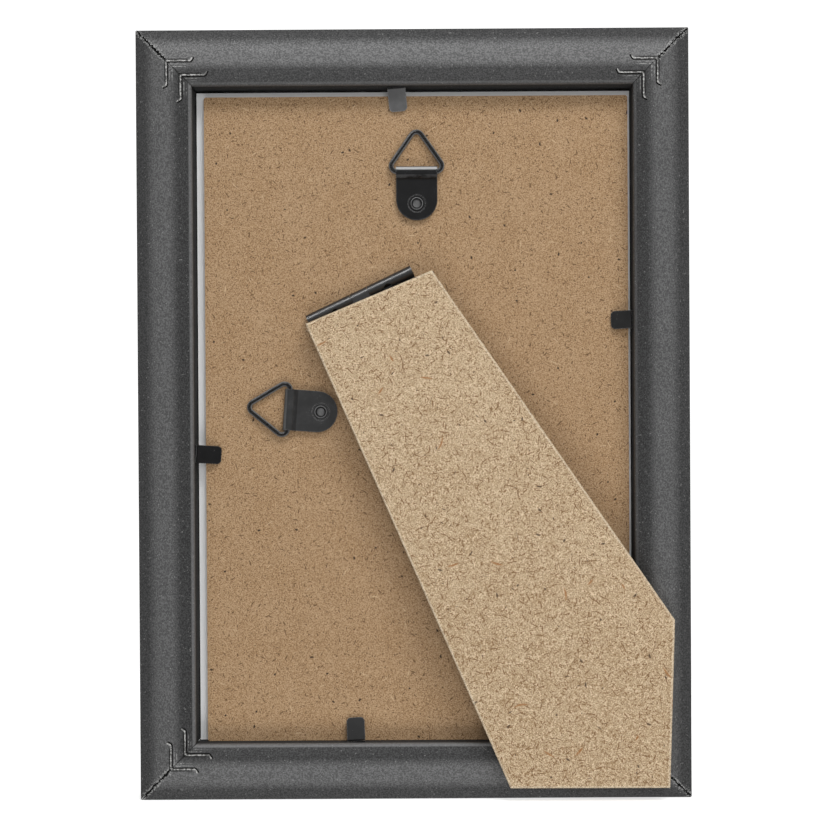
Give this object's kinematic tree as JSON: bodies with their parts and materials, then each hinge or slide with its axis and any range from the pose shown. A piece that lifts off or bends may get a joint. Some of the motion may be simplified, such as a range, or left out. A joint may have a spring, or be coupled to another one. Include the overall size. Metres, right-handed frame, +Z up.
{
  "type": "easel back photo frame",
  "caption": "Upright photo frame with mitred rails, a hardboard back held by bendable tabs, a hinged easel leg and hanging rings for both ways up.",
  "frame": {"origin": "middle of the flat underside of the bottom rail, on the surface that the frame stands on", "axes": "+Z up the frame, -Y out of the picture's front, +Y out of the back, +X to the left as seen from behind"},
  "size_m": [0.128, 0.0203, 0.1784],
  "materials": {
    "rail_foil": "matt black foil on wood fibre",
    "nail_steel": "bare pressed steel",
    "tab_steel": "satin black",
    "clear_sheet": "clear",
    "insert_paper": "plain",
    "back_hardboard": "bare hardboard",
    "hanger_black": "satin black",
    "leg_fibreboard": "bare fibreboard",
    "hinge_black": "gloss black",
    "pin_steel": "drawn wire"
  },
  "bodies": {
    "frame": {"rail_top": "rail_foil", "rail_bottom": "rail_foil", "rail_left": "rail_foil", "rail_right": "rail_foil", "corner_v_nails": "nail_steel", "tab_shanks": "tab_steel", "glazing_sheet": "clear_sheet", "picture_insert": "insert_paper", "backboard": "back_hardboard", "hanger_top_strap": "hanger_black", "hanger_top_rivet": "hanger_black", "hanger_side_strap": "hanger_black", "hanger_side_rivet": "hanger_black", "hinge_board_leaf": "hinge_black", "hinge_pin": "pin_steel", "hinge_rivets": "hinge_black"},
    "leg": {"easel_leg": "leg_fibreboard", "hinge_leg_leaf": "hinge_black"},
    "top_ring": {"hanger_top_ring": "hanger_black"},
    "side_ring": {"hanger_side_ring": "hanger_black"},
    "top_tab": {"tab_top": "tab_steel"},
    "right_tab": {"tab_right": "tab_steel"},
    "bottom_tab": {"tab_bottom": "tab_steel"},
    "left_tab": {"tab_left": "tab_steel"}
  },
  "joints": [
    {"name": "leg_hinge", "type": "hinge", "parent": "frame", "child": "leg", "pos_m": [0.01247, 0.00262, 0.11691], "axis": [0.9033, 0, -0.4289], "range_deg": [0, 28]},
    {"name": "ring_top_swing", "type": "hinge", "parent": "frame", "child": "top_ring", "pos_m": [-0.00088, 0.00247, 0.14585], "axis": [-1, 0, 0], "range_deg": [0, 160]},
    {"name": "ring_side_swing", "type": "hinge", "parent": "frame", "child": "side_ring", "pos_m": [0.02922, 0.00247, 0.09052], "axis": [-0.0767, 0, 0.9971], "range_deg": [0, 160]},
    {"name": "tab_top_bend", "type": "hinge", "parent": "frame", "child": "top_tab", "pos_m": [0.00371, 0.00342, 0.1649], "axis": [0.9957, 0, -0.0924], "range_deg": [0, 100]},
    {"name": "tab_right_bend", "type": "hinge", "parent": "frame", "child": "right_tab", "pos_m": [-0.0505, 0.00342, 0.11114], "axis": [0.0384, 0, 0.9993], "range_deg": [0, 100]},
    {"name": "tab_bottom_bend", "type": "hinge", "parent": "frame", "child": "bottom_tab", "pos_m": [0.01395, 0.00342, 0.0135], "axis": [-0.9985, 0, 0.0541], "range_deg": [0, 100]},
    {"name": "tab_left_bend", "type": "hinge", "parent": "frame", "child": "left_tab", "pos_m": [0.0505, 0.00342, 0.08028], "axis": [0.061, 0, -0.9981], "range_deg": [0, 100]}
  ]
}
